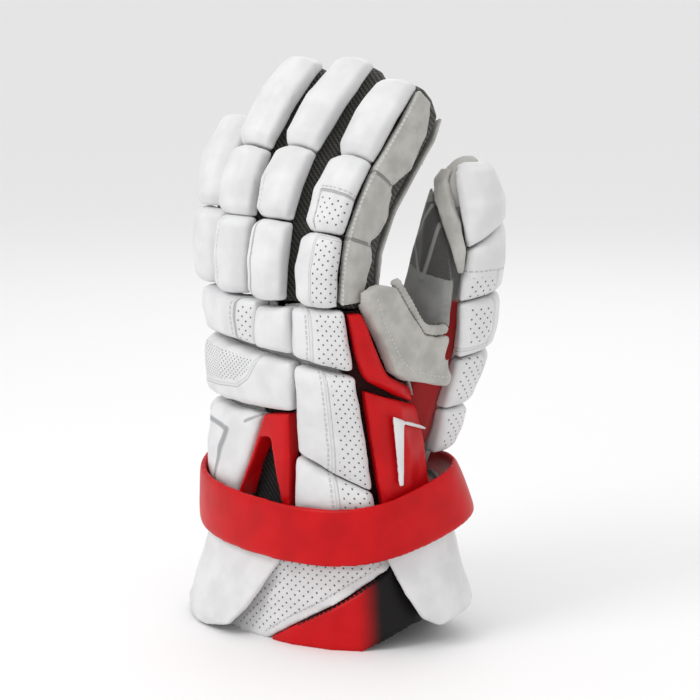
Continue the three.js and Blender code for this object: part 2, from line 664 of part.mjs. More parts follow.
weltTube.deleteAttribute("normal");
weltTube.deleteAttribute("uv");
const welt = mergeVertices(weltTube, 1e-4);
const webNeighbours = [bodyKeepOut, thumbKeepOut, indexKeepOut, indexLobes(CLEARANCE), ...flankKeepOut];
const web = cut(webPlate(0), [...webNeighbours, thumbBlock(0.3, 0.6)]);
piece("web_patch", SUEDE, web);
piece("web_welt", SUEDE, cut(welt, [...webNeighbours, webPlate(CLEARANCE), thumbBlock(0.3, 0.6)]));
const thumbNeighbours = [
  bodyKeepOut,
  ...flankKeepOut,
  webPlate(CLEARANCE),
  new THREE.ExtrudeGeometry(new THREE.Shape().absarc(0, 0, WELT_ROUND + CLEARANCE, 0, 2 * Math.PI), {
    steps: 14,
    curveSegments: 4,
    extrudePath: webCurve,
  }),
];
piece("thumb_sleeve", GREY, cut(thumbOuter, [thumbBore, ...thumbNeighbours]));

const THUMB_PADS = [
  {
    name: "thumb_pad_tip",
    rows: [thumbRow(-37, 0.725, 62, 0.82), thumbRow(-57, 0.84, 62, 0.88), thumbRow(-90, 0.985, 62, 0.985)],
  },
  { name: "thumb_pad_middle", rows: [thumbRow(-38, 0.565, 62, 0.59), thumbRow(-37, 0.72, 62, 0.815)] },
  { name: "thumb_pad_lower", rows: [thumbRow(-23, 0.385, 62, 0.415), thumbRow(-37, 0.56, 62, 0.585)] },
  { name: "thumb_pad_root", rows: [thumbRow(-13, 0.22, 62, 0.225), thumbRow(-22, 0.38, 62, 0.41)] },
  { name: "thumb_pad_wrist", rows: [thumbRow(-2, 0.07, 62, 0.07), thumbRow(-13, 0.215, 62, 0.22)] },
];
const thumbReach = THUMB_BREADTH / 2;
for (const { name, rows } of THUMB_PADS) {
  const solid = panel(thumbAt, rows, { depth: thumbLayer, reach: thumbReach, roll: 3, across: FINGER_SHARES });
  piece(name, WHITE, cut(solid, [thumbKeepOut, ...thumbNeighbours]));
}

// The palm: one suede panel on the body's palm side, round the thumb's root.
const PALM = [
  { leftU: 128, leftZ: 0.42, rightU: 257, rightZ: 0.42 },
  { leftU: 129, leftZ: 0.6, rightU: 257, rightZ: 0.6 },
  { leftU: 130, leftZ: 0.78, rightU: 257, rightZ: 0.78 },
  { leftU: 112, leftZ: 0.96, rightU: 257, rightZ: 0.96 },
];
const palmColumns = Array.from({ length: 9 }, (_, k) => k / 8);
piece(
  "palm_panel",
  SUEDE,
  cut(
    panel(bodyAt, heights(PALM, KNUCKLE_HEIGHT), {
      depth: bodyLayer,
      roll: 0.4,
      reach: BODY_REACH,
      shares: [0, 0.25, 0.5, 0.75, 1],
      across: palmColumns,
    }),
    [bodyKeepOut, thumbSkin, webPlate(CLEARANCE), ...flankKeepOut],
  ),
);

// Suede on the thumb: the side towards the fingers, and a rolled edge from the tip down to the pads.
const sideRows = [
  thumbRow(-150, 0.48, -42, 0.48),
  thumbRow(-150, 0.64, -48, 0.64),
  thumbRow(-150, 0.74, -66, 0.74),
  thumbRow(-150, 0.84, -96, 0.84),
  thumbRow(-150, 0.9, -132, 0.9),
];
const edgeRows = [
  thumbRow(-46, 0.65, -39, 0.65),
  thumbRow(-63, 0.74, -39, 0.74),
  thumbRow(-93, 0.84, -58, 0.84),
  thumbRow(-130, 0.92, -88, 0.92),
  thumbRow(-140, 0.965, -92, 0.965),
];
const thumbSuede = { depth: thumbLayer, reach: thumbReach, roll: 0.5, shares: [0, 0.2, 0.4, 0.6, 0.8, 1] };
piece(
  "thumb_side_panel",
  GREY,
  cut(panel(thumbAt, sideRows, thumbSuede), [thumbKeepOut, ...thumbNeighbours]),
);
piece(
  "thumb_edge_roll",
  SUEDE,
  cut(panel(thumbAt, edgeRows, { ...thumbSuede, lift: 1 }), [thumbKeepOut, ...thumbNeighbours]),
);

// The wrist cuff: a white tongue at the front, a red hem across its corner and a plain palm side.
const cuffStyle = { depth: CUFF_INSET + CUFF_DEPTH, lift: -CUFF_INSET, roll: 0.8, seam: 0, reach: BODY_REACH };
const TONGUE = [
  { leftU: -58, leftZ: 0, rightU: 3, rightZ: 0 },
  { leftU: -58, leftZ: 0.17, rightU: 20, rightZ: 0.17 },
  { leftU: -58, leftZ: 0.34, rightU: 39, rightZ: 0.34 },
  { leftU: -58, leftZ: 0.6, rightU: 66, rightZ: 0.6 },
  { leftU: -58, leftZ: 1, rightU: 104, rightZ: 1 },
];
const HEM = [
  { leftU: 7, leftZ: 0, rightU: 7, rightZ: 0.016 },
  { leftU: 20, leftZ: 0, rightU: 20, rightZ: 0.145 },
  { leftU: 39, leftZ: 0, rightU: 39, rightZ: 0.315 },
  { leftU: 52, leftZ: 0, rightU: 52, rightZ: 0.44 },
  { leftU: 66, leftZ: 0.09, rightU: 66, rightZ: 0.575 },
  { leftU: 84, leftZ: 0.18, rightU: 84, rightZ: 0.765 },
  { leftU: 106, leftZ: 0.19, rightU: 106, rightZ: 0.97 },
];
const PALM_CUFF = [
  { leftU: 108, leftZ: 0.19, rightU: 108, rightZ: 1 },
  { leftU: 132, leftZ: 0.1, rightU: 132, rightZ: 1 },
  { leftU: 156, leftZ: 0, rightU: 156, rightZ: 1 },
  { leftU: 300, leftZ: 0, rightU: 300, rightZ: 1 },
];
const cuffShares = [0, 0.06, 0.5, 0.94, 1];
const tongueShares = [0, 0.06, 0.25, 0.5, 0.75, 0.94, 1];
const cuffColumns = (count) => Array.from({ length: count }, (_, k) => k / (count - 1));
piece(
  "cuff_tongue",
  WHITE,
  cut(
    panel(bodyAt, heights(TONGUE, CUFF_HEIGHT), { ...cuffStyle, shares: tongueShares, across: cuffColumns(10) }),
    [bodyKeepOut],
  ),
);
piece(
  "cuff_hem",
  RED,
  cut(
    panel(bodyAt, heights(HEM, CUFF_HEIGHT), {
      ...cuffStyle,
      shares: [0, 0.15, 0.32, 0.5, 0.66, 0.83, 1],
      across: [0, 0.1, 0.5, 0.9, 1],
    }),
    [bodyKeepOut],
  ),
);
piece(
  "palm_cuff",
  WHITE,
  cut(
    panel(bodyAt, heights(PALM_CUFF, CUFF_HEIGHT), {
      ...cuffStyle,
      shares: [0, 0.12, 0.24, 0.333, 0.42, 0.5, 0.58, 0.667, 0.75, 0.83, 0.92, 1],
      across: cuffShares,
    }),
    [bodyKeepOut],
  ),
);

// The cuff's two flaps: each lies on the cuff under the strap and stands out at its hem.
const ULNAR_FLAP = [
  { leftU: -118, leftZ: 0.06, rightU: -24, rightZ: 0.012 },
  { leftU: -118, leftZ: 0.16, rightU: -8, rightZ: 0.08 },
  { leftU: -118, leftZ: 0.32, rightU: 0, rightZ: 0.25 },
  { leftU: -118, leftZ: 0.62, rightU: 13, rightZ: 0.62 },
  { leftU: -118, leftZ: 0.95, rightU: 18, rightZ: 0.95 },
];
const RADIAL_FLAP = [
  { leftU: 90, leftZ: 0.17, rightU: 132, rightZ: 0.24 },
  { leftU: 80, leftZ: 0.24, rightU: 148, rightZ: 0.34 },
  { leftU: 72, leftZ: 0.43, rightU: 154, rightZ: 0.48 },
  { leftU: 64, leftZ: 0.68, rightU: 156, rightZ: 0.7 },
  { leftU: 61, leftZ: 0.95, rightU: 156, rightZ: 0.95 },
];
function flap(rows, columns) {
  const flare = (z) => FLAP_FLARE * (1 - smooth(z / (0.7 * CUFF_HEIGHT)));
  const flaredAt = (z) => {
    const frame = bodyAt(z);
    return { ...frame, a: frame.a + flare(z), b: frame.b + flare(z) };
  };
  const inset = CUFF_INSET - CLEARANCE;
  const style = { depth: inset, lift: FLAP_DEPTH - inset, roll: 1.5, reach: BODY_REACH };
  return panel(flaredAt, heights(rows, CUFF_HEIGHT), {
    ...style,
    shares: [0, 0.06, 0.25, 0.5, 0.75, 1],
    across: cuffColumns(columns),
  });
}
piece("cuff_flap_ulnar", WHITE, flap(ULNAR_FLAP, 12));
piece("cuff_flap_radial", WHITE, flap(RADIAL_FLAP, 9));

// The strap: a closed band that dips at the front and swells over the thumb's root.
const STRAP = [
  { at: -180, rise: 14, out: 2 },
  { at: -90, rise: 12, out: 2 },
  { at: -45, rise: 4, out: 1 },
  { at: 0, rise: 0.5, out: 1 },
  { at: 45, rise: 0, out: 1 },
  { at: 90, rise: 9, out: 2 },
  { at: 130, rise: 17, out: 8 },
  { at: 180, rise: 14, out: 2 },
];
const strapSides = 32;
const strapRings = Array.from({ length: strapSides }, (_, k) => {
  const degrees = -180 + (k / strapSides) * 360;
  const middle = STRAP_HEIGHT + blend(STRAP, "rise", degrees);
  const out = blend(STRAP, "out", degrees);
  const point = (up, off) => skinPoint(bodyAt(middle + up * STRAP_WIDTH), degrees, -out - off);
  return [
    point(-0.5, 0),
    point(-0.5, STRAP_DEPTH - 1),
    point(-0.42, STRAP_DEPTH),
    point(0.42, STRAP_DEPTH),
    point(0.5, STRAP_DEPTH - 1),
    point(0.5, 0),
  ];
});
piece("strap", RED, ringBody(strapRings, true));

const glove = new THREE.Group();
glove.add(...parts);
const bounds = new THREE.Box3().setFromObject(glove);
const middle = bounds.getCenter(new THREE.Vector3());
glove.position.set(-middle.x, -middle.y, -bounds.min.z);

const group = new THREE.Group();
group.add(glove);

export default group;
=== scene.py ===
import math

import bpy
import numpy as np
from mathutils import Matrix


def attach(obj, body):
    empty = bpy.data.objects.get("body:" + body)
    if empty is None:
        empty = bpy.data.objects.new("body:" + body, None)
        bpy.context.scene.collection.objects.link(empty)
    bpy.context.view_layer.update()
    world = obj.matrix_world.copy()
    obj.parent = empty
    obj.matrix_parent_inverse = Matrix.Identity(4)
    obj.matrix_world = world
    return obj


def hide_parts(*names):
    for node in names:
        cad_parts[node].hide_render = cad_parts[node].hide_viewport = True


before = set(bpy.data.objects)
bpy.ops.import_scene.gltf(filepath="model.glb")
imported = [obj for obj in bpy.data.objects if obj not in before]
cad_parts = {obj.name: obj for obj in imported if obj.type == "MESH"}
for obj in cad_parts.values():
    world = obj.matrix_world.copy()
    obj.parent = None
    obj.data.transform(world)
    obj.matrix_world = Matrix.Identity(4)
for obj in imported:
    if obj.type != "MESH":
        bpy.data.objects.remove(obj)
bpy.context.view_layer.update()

# The set: a pale floor, soft studio light from the upper left and the camera on the thumb side of
# the back of the hand, a little above it.
bpy.ops.object.select_all(action="DESELECT")
bpy.ops.mesh.primitive_plane_add(size=60, location=(0, 0, 0))
floor = bpy.context.object
floor.name = "floor"
paper = bpy.data.materials.new("paper")
paper.use_nodes = True
paper.node_tree.nodes["Principled BSDF"].inputs["Base Color"].default_value = (0.9, 0.9, 0.9, 1)
paper.node_tree.nodes["Principled BSDF"].inputs["Roughness"].default_value = 0.9
floor.data.materials.append(paper)

turn, rise, away = math.radians(46), math.radians(10), 1.2
aim = np.array([0.0050, 0.0106, 0.138])
back = np.array([math.sin(turn) * math.cos(rise), -math.cos(turn) * math.cos(rise), math.sin(rise)])
bpy.ops.object.camera_add(location=tuple(aim + away * back), rotation=(math.pi / 2 - rise, 0, turn))
camera = bpy.context.object
camera.data.lens = 36 * away / 0.35
camera.data.sensor_width = 36
camera.data.clip_start = 0.05
bpy.context.scene.camera = camera


def soft_light(name, azimuth, height, distance, size, power):
    angle = math.radians(azimuth)
    place = aim + distance * np.array([math.sin(angle), -math.cos(angle), 0]) + np.array([0, 0, height])
    bpy.ops.object.light_add(type="AREA", location=tuple(place))
    lamp = bpy.context.object
    lamp.name = name
    lamp.data.size = size
    lamp.data.energy = power
    toward = aim - place
    lamp.rotation_euler = (
        math.atan2(math.hypot(toward[0], toward[1]), -toward[2]),
        0,
        math.atan2(-toward[0], toward[1]),
    )


soft_light("key_light", 355, 0.75, 0.9, 0.45, 4.2)
soft_light("fill_light", 100, 0.3, 1.1, 0.9, 0.6)
soft_light("rim_light", 215, 0.8, 1.0, 0.8, 1.8)
soft_light("top_light", 30, 1.2, 0.15, 0.6, 1.0)
world = bpy.data.worlds.new("studio")
world.use_nodes = True
world.node_tree.nodes["Background"].inputs["Color"].default_value = (1, 1, 1, 1)
world.node_tree.nodes["Background"].inputs["Strength"].default_value = 0.86
bpy.context.scene.world = world
bpy.context.scene.view_settings.view_transform = "Standard"

# The hand shell: the glove's lining and its charcoal ribbed mesh, one hollow body under the pads.
# It is open at the wrist and into each finger and the thumb. Sizes in millimetres follow the
# glove's own sections: place across and front to back, half sizes, squareness and turn by height.
MIDDLE = (-1.21, 4.14)
HAND_SECTIONS = np.array([
    [0.0, 0.0, 0.0, 72.6, 56.0, 2.2, 0],
    [59.5, 0.0, -2.0, 68.0, 50.0, 2.3, 0],
    [100.3, 1.0, -13.0, 65.0, 38.0, 2.5, -3],
    [139.4, 5.3, -24.0, 62.0, 33.0, 2.7, -6],
    [170.0, 5.9, -33.0, 62.7, 25.0, 2.8, -7],
])


def hand_chart(co):
    z = co[:, 2]
    x, y, a, b, n, yaw = [np.interp(z, HAND_SECTIONS[:, 0], HAND_SECTIONS[:, k]) for k in range(1, 7)]
    c, s = np.cos(np.radians(yaw)), np.sin(np.radians(yaw))
    qx, qy = co[:, 0] - MIDDLE[0] - x, co[:, 1] - MIDDLE[1] - y
    across, inward = qx * c + qy * s, -qx * s + qy * c
    around = np.degrees(np.arctan2(across / a, -inward / b))
    return np.stack([around, z], 1)


def soft_copy(node, name, voxel, rounds, puff=0.0, swell=0.0, curve=0):
    """The node's form as soft goods: remeshed, its rims rounded, and its skin a little uneven."""
    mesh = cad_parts[node].data.copy()
    piece = bpy.data.objects.new(name, mesh)
    bpy.context.scene.collection.objects.link(piece)
    piece.data.materials.clear()
    bpy.ops.object.select_all(action="DESELECT")
    piece.select_set(True)
    bpy.context.view_layer.objects.active = piece
    bpy.ops.object.mode_set(mode="EDIT")
    bpy.ops.mesh.select_all(action="SELECT")
    bpy.ops.mesh.remove_doubles(threshold=0.00002)
    if curve:
        bpy.ops.mesh.tris_convert_to_quads()
    bpy.ops.object.mode_set(mode="OBJECT")
    if curve:
        rounder = piece.modifiers.new("rounder", "SUBSURF")
        rounder.levels = rounder.render_levels = curve
        rounder.subdivision_type = "CATMULL_CLARK" if voxel else "SIMPLE"
        bpy.ops.object.modifier_apply(modifier="rounder")
    if voxel:
        remesh = piece.modifiers.new("remesh", "REMESH")
        remesh.mode = "VOXEL"
        remesh.voxel_size = voxel
        bpy.ops.object.modifier_apply(modifier="remesh")
    soften = piece.modifiers.new("soften", "SMOOTH")
    soften.factor = 0.5
    soften.iterations = rounds
    bpy.ops.object.modifier_apply(modifier="soften")
    if swell:
        fuller = piece.modifiers.new("fuller", "DISPLACE")
        fuller.strength = swell
        fuller.mid_level = 0
        bpy.ops.object.modifier_apply(modifier="fuller")
    if puff:
        lumps = bpy.data.textures.get("lumps") or bpy.data.textures.new("lumps", "CLOUDS")
        lumps.noise_scale = 0.016
        lumps.noise_depth = 1
        uneven = piece.modifiers.new("uneven", "DISPLACE")
        uneven.texture = lumps
        uneven.texture_coords = "LOCAL"
        uneven.strength = puff
        uneven.mid_level = 0.5
        bpy.ops.object.modifier_apply(modifier="uneven")
    bpy.ops.object.shade_smooth()
    return piece


def points_of(piece):
    co = np.empty(len(piece.data.vertices) * 3, np.float32)
    piece.data.vertices.foreach_get("co", co)
    return co.reshape(-1, 3) * 1000.0


def store(piece, name, values):
    """Keeps three numbers for each point of a piece, which its material reads as an attribute."""
    layer = piece.data.attributes.new(name, "FLOAT_VECTOR", "POINT")
    full = np.zeros((len(values), 3), np.float32)
    full[:, : values.shape[1]] = values
    layer.data.foreach_set("vector", full.reshape(-1))


def to_lines(places, lines):
    """How near each place is to the nearest of some drawn lines, and how far along them, in mm."""
    near = np.full(len(places), 99.0)
    along = np.zeros(len(places))
    for line in lines:
        run = 0.0
        for (ax, ay), (bx, by) in zip(line[:-1], line[1:]):
            start, step = np.array([ax, ay]), np.array([bx - ax, by - ay])
            length = math.hypot(*step)
            t = np.clip(((places - start) @ step) / max(length**2, 1e-9), 0, 1)
            d = np.hypot(*(places - start - t[:, None] * step).T)
            closer = d < near
            near[closer] = d[closer]
            along[closer] = run + t[closer] * length
            run += length
    return near, along


def inside(places, outline):
    """How deep each place lies inside an outline, in mm: 0 outside it."""
    near, _ = to_lines(places, [outline + [outline[0]]])
    within = np.zeros(len(places), bool)
    for (ax, ay), (bx, by) in zip(outline, outline[1:] + [outline[0]]):
        crosses = (ay > places[:, 1]) != (by > places[:, 1])
        at = (bx - ax) * (places[:, 1] - ay) / ((by - ay) or 1e-9) + ax
        within ^= crosses & (places[:, 0] < at)
    return np.where(within, near, 0.0)


REACH = 5.0  # mm round a drawn line in which its material can see it


def draw(piece, chart, radius, holes=(), stitches=(), piping=(), creases=(), trims=(), dark=(), pale=(), red_and_red_shade=()):
    """Draws a piece's sewing on its skin, in turns round the limb (degrees) and mm along it."""
    turn_mm = math.radians(1) * radius
    flat = chart(points_of(piece)) * (turn_mm, 1)
    mm = lambda line: [(u * turn_mm, v) for u, v in line]
    store(piece, "chart", flat)
    for name, shapes in (("stitches", stitches), ("piping", piping), ("creases", creases), ("trims", trims)):
        near, along = to_lines(flat, [mm(line) for line in shapes])
        store(piece, name, np.stack([np.maximum(REACH - near, 0), along], 1))
    for name, shapes in (("holes", holes), ("dark", dark), ("pale", pale), ("red_and_red_shade", red_and_red_shade)):
        depth = np.zeros(len(flat))
        for outline in shapes:
            depth = np.maximum(depth, inside(flat, mm(outline)))
        store(piece, name, depth[:, None])


class Shader:
    """A material's nodes, joined up in words."""

    def __init__(self, name, roughness, sheen=0.0, coat=0.0):
        self.material = bpy.data.materials.new(name)
        self.material.use_nodes = True
        self.tree = self.material.node_tree
        self.skin = self.tree.nodes["Principled BSDF"]
        self.skin.inputs["Roughness"].default_value = roughness
        self.skin.inputs["Sheen Weight"].default_value = sheen
        self.skin.inputs["Sheen Roughness"].default_value = 0.6
        self.skin.inputs["Coat Weight"].default_value = coat
        self.skin.inputs["Coat Roughness"].default_value = 0.3
        self.skin.inputs["Specular IOR Level"].default_value = 0.4
        self.place = self.node("ShaderNodeTexCoord").outputs["Object"]

    def node(self, kind, **settings):
        made = self.tree.nodes.new(kind)
        for key, value in settings.items():
            setattr(made, key, value)
        return made

    def put(self, socket, value):
        if isinstance(value, bpy.types.NodeSocket):
            self.tree.links.new(value, socket)
        else:
            socket.default_value = value

    def math(self, how, a, b=0.0, c=0.0):
        made = self.node("ShaderNodeMath", operation=how)
        for socket, value in zip(made.inputs, (a, b, c)):
            self.put(socket, value)
        return made.outputs[0]

    def ramp(self, value, low, high, start=0.0, end=1.0):
        made = self.node("ShaderNodeMapRange", interpolation_type="SMOOTHSTEP")
        for key, item in (("Value", value), ("From Min", low), ("From Max", high), ("To Min", start), ("To Max", end)):
            self.put(made.inputs[key], item)
        return made.outputs["Result"]

    def noise(self, scale, detail=2.0, place=None):
        made = self.node("ShaderNodeTexNoise")
        self.put(made.inputs["Vector"], place or self.place)
        made.inputs["Scale"].default_value = scale
        made.inputs["Detail"].default_value = detail
        return made.outputs["Fac"]

    def mix(self, share, a, b):
        made = self.node("ShaderNodeMix", data_type="RGBA")
        self.put(made.inputs[0], share)
        self.put(made.inputs[6], a)
        self.put(made.inputs[7], b)
        return made.outputs[2]

    def attribute(self, name):
        made = self.node("ShaderNodeAttribute", attribute_name=name)
        parts = self.node("ShaderNodeSeparateXYZ")
        self.put(parts.inputs[0], made.outputs["Vector"])
        return made.outputs["Vector"], parts.outputs[0], parts.outputs[1]

    def dots(self, spacing, radius):
        """Round holes in staggered rows on the chart: 1 inside a hole."""
        chart, _, _ = self.attribute("chart")
        turned = self.node("ShaderNodeMapping")
        self.put(turned.inputs["Vector"], chart)
        turned.inputs["Rotation"].default_value = (0, 0, math.radians(45))
        cells = self.node("ShaderNodeTexVoronoi", voronoi_dimensions="2D")
        self.put(cells.inputs["Vector"], turned.outputs[0])
        cells.inputs["Scale"].default_value = 1 / spacing
        cells.inputs["Randomness"].default_value = 0
        share = radius / spacing
        return self.ramp(cells.outputs["Distance"], share * 0.75, share * 1.2, 1.0, 0.0)

    def dashes(self, name, length, width):
        """A broken line of thread along a drawn line: 1 on the thread."""
        _, near, along = self.attribute(name)
        beat = self.math("FRACT", self.math("DIVIDE", along, length))
        thread = self.ramp(self.math("ABSOLUTE", self.math("SUBTRACT", beat, 0.5)), 0.3, 0.38, 1.0, 0.0)
        return self.math("MULTIPLY", thread, self.ramp(near, REACH - width, REACH - width * 0.5))

    def line(self, name, width):
        _, near, _ = self.attribute(name)
        return self.ramp(near, REACH - width, REACH - width * 0.35)

    def finish(self, color, height, strength=0.6, reach=0.001):
        self.put(self.skin.inputs["Base Color"], color)
        bump = self.node("ShaderNodeBump")
        bump.inputs["Strength"].default_value = strength
        bump.inputs["Distance"].default_value = reach
        self.put(bump.inputs["Height"], height)
        self.put(self.skin.inputs["Normal"], bump.outputs[0])
        return self.material


def mesh_cloth():
    s = Shader("charcoal_mesh", 0.85, sheen=0.08)
    s.skin.inputs["Specular IOR Level"].default_value = 0.15
    ribs = s.node("ShaderNodeTexWave", wave_type="BANDS", bands_direction="DIAGONAL")
    s.put(ribs.inputs["Vector"], s.place)
    ribs.inputs["Scale"].default_value = 190
    ribs.inputs["Distortion"].default_value = 0.4
    cross = s.node("ShaderNodeTexWave", wave_type="BANDS", bands_direction="Z")
    s.put(cross.inputs["Vector"], s.place)
    cross.inputs["Scale"].default_value = 260
    weave = s.math("ADD", s.math("MULTIPLY", ribs.outputs["Fac"], 0.7), s.math("MULTIPLY", cross.outputs["Fac"], 0.3))
    # The "dark" attribute marks the vent's recess. It is painted near black below, as painted shade.
    _, depth, _ = s.attribute("dark")
    base = s.mix(s.ramp(weave, 0.2, 0.8), (0.035, 0.034, 0.03, 1), (0.105, 0.102, 0.092, 1))
    base = s.mix(s.ramp(s.noise(60), 0.3, 0.7, 0.0, 0.35), base, (0.055, 0.053, 0.048, 1))
    _, white, _ = s.attribute("pale")
    base = s.mix(s.ramp(white, 0.0, 1.0), base, (0.5, 0.5, 0.5, 1))
    # Painted shade: the shell's red zone, between the index pads and the red roll, is painted dark red-black for the
    # deep shade there.
    _, red, _ = s.attribute("red_and_red_shade")
    base = s.mix(s.ramp(red, 0.0, 1.0), base, (0.03, 0.003, 0.003, 1))
    # Painted shade: the mesh inside the vent is painted near black.
    base = s.mix(s.ramp(depth, 0.0, 2.0), base, (0.006, 0.006, 0.006, 1))
    return s.finish(base, weave, 0.7, 0.0008)


MESH_CLOTH = mesh_cloth()


def dress(piece, material, slot, *nodes, fill=None):
    piece.data.materials.append(material)
    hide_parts(*nodes)
    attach(piece, "root")


shell = soft_copy("hand_shell", "hand_lining", 0.0017, 4)
draw(
    shell,
    hand_chart,
    50,
    # Painted shade: the vent's recess, painted near black.
    dark=[[(-26, 52), (26, 52), (24, 118), (-10, 118)]],
    pale=[[(-105, 66), (61, 66), (63, 172), (-105, 172)]],
    # Painted shade: the red zone on the lining is painted dark red-black, the shade between the pads and the red roll.
    red_and_red_shade=[[(63, 60), (125, 60), (125, 175), (65, 175)]],
)
dress(shell, MESH_CLOTH, "mesh_cloth", "hand_shell")

# Finger sleeves: hollow charcoal mesh, closed at the tips, one for each finger. Each leans to the
# palm from joint to joint, so places on it are read along its own curve. Sizes in millimetres.
ROOT_HEIGHT, FINGER_DEPTH, HALF_WIDTH = 170.0, 39.0, 15.2
FINGERS = {
    "index": {"x": 46.7, "back": -61.5, "joints": [0, 38.2, 80.4, 132.0], "leans": [-4, 19, 40, 40]},
    "middle": {"x": 14.4, "back": -63.0, "joints": [0, 41.5, 81.7, 145.4], "leans": [-2, 14, 39, 49]},
    "ring": {"x": -17.0, "back": -57.0, "joints": [0, 39.5, 77.1, 140.7], "leans": [0, 7, 31, 53]},
    "pinky": {"x": -48.3, "back": -42.5, "joints": [0, 39.5, 101.2], "leans": [-3, 2, 55]},
}


def finger_chart(name):
    finger = FINGERS[name]
    steps = np.linspace(-10, finger["joints"][-1] + 10, 240)
    leans = np.radians(np.interp(steps, finger["joints"], finger["leans"]))
    gap = steps[1] - steps[0]
    ys = np.cumsum(np.sin(leans)) * gap
    zs = np.cumsum(np.cos(leans)) * gap
    zero = int(np.argmin(np.abs(steps)))
    ys += finger["back"] - ys[zero]
    zs += ROOT_HEIGHT - zs[zero]
    oy, oz = ys + np.cos(leans) * FINGER_DEPTH / 2, zs - np.sin(leans) * FINGER_DEPTH / 2

    def chart(co):
        y, z = co[:, 1] - MIDDLE[1], co[:, 2]
        off = (y[:, None] - oy) * np.sin(leans) + (z[:, None] - oz) * np.cos(leans)
        k = np.argmin(np.abs(off), axis=1)
        deep = (y - oy[k]) * np.cos(leans[k]) - (z - oz[k]) * np.sin(leans[k])
        across = co[:, 0] - MIDDLE[0] - finger["x"]
        around = np.degrees(np.arctan2(across / HALF_WIDTH, -deep / (FINGER_DEPTH / 2)))
        return np.stack([around, steps[k] + off[np.arange(len(k)), k]], 1)

    return chart


for name in FINGERS:
    sleeve = soft_copy(f"{name}_sleeve", f"{name}_mesh_sleeve", 0, 6, curve=3)
    dress(sleeve, MESH_CLOTH, "mesh_cloth", f"{name}_sleeve")

# Finger pads: foam blocks sewn under smooth white synthetic leather on the back of each finger, one
# to a joint. The index finger's have a perforated inset towards the thumb, edged with piping.


def white_leather(name, hole_spacing=3.2, hole_radius=0.45):
    s = Shader(name, 0.48, sheen=0.05, coat=0.05)
    grain = s.noise(900, 3)
    folds = s.noise(70, 2)
    _, inset, _ = s.attribute("holes")
    zone = s.ramp(inset, 1.0, 1.4)
    hole = s.math("MULTIPLY", s.dots(hole_spacing, hole_radius), zone)
    thread = s.dashes("stitches", 2.6, 0.55)
    piped = s.line("piping", 1.1)
    crease = s.line("creases", 0.9)
    trim = s.line("trims", 2.2)
    color = s.mix(s.ramp(folds, 0.3, 0.7), (0.64, 0.64, 0.648, 1), (0.72, 0.72, 0.725, 1))
    color = s.mix(s.math("MULTIPLY", zone, 0.35), color, (0.66, 0.66, 0.655, 1))
    # Painted shade: the creases are painted dark grey, the shade in their grooves.
    color = s.mix(s.math("MULTIPLY", crease, 0.75), color, (0.3, 0.3, 0.3, 1))
    color = s.mix(s.math("MULTIPLY", piped, 0.5), color, (0.62, 0.62, 0.61, 1))
    color = s.mix(s.math("MULTIPLY", thread, 0.7), color, (0.4, 0.4, 0.395, 1))
    color = s.mix(trim, color, (0.3, 0.31, 0.32, 1))
    color = s.mix(hole, color, (0.09, 0.09, 0.09, 1))
    height = s.math("ADD", s.math("MULTIPLY", grain, 0.06), s.math("MULTIPLY", folds, 0.25))
    height = s.math("ADD", height, s.math("MULTIPLY", piped, 0.9))
    height = s.math("SUBTRACT", height, s.math("MULTIPLY", crease, 1.1))
    height = s.math("SUBTRACT", height, s.math("MULTIPLY", hole, 0.6))
    height = s.math("SUBTRACT", height, s.math("MULTIPLY", thread, 0.35))
    return s.finish(color, height, 0.75, 0.0009)


WHITE = white_leather("white_leather")
FINE_HOLES = white_leather("white_leather_fine_holes", 1.8, 0.34)
SEWING = {
    "index_pad_proximal": {
        "holes": [[(8, 3), (58, 3), (58, 35), (8, 36)]],
        "piping": [[(8, 1), (8, 36), (56, 36)]],
    },
    "index_pad_middle": {
        "holes": [[(-8, 41), (56, 41), (56, 57), (-8, 57)]],
        "stitches": [[(-12, 60), (58, 60)]],
        "creases": [[(-9, 40), (-9, 58), (58, 58)]],
    },
    "middle_pad_proximal": {"stitches": [[(-22, 4), (-22, 40)]], "creases": [[(-25, 2), (-25, 41)]]},
    "middle_pad_middle": {
        "holes": [[(-60, 43), (-27, 43), (-27, 60), (-60, 60)]],
        "stitches": [[(-24, 43), (-24, 62), (-60, 64)]],
    },
    "ring_pad_proximal": {"stitches": [[(-25, 4), (-25, 38)]]},
}
for name, finger in FINGERS.items():
    joints = ["middle", "distal"] if name == "pinky" else ["proximal", "middle", "distal"]
    for joint in joints:
        node = f"{name}_pad_{joint}"
        pad = soft_copy(node, f"{node}_foam", 0.00105, 9, puff=0.0011, swell=0.0004)
        draw(pad, finger_chart(name), 17, **SEWING.get(node, {}))
        dress(pad, WHITE, "white_leather", node, fill=0.9)

# Palm strips and the side of the index finger: light grey suede, on the finger's side cut in three
# lobes whose scalloped edge is turned over and stitched, with a sewn valley between the lobes.


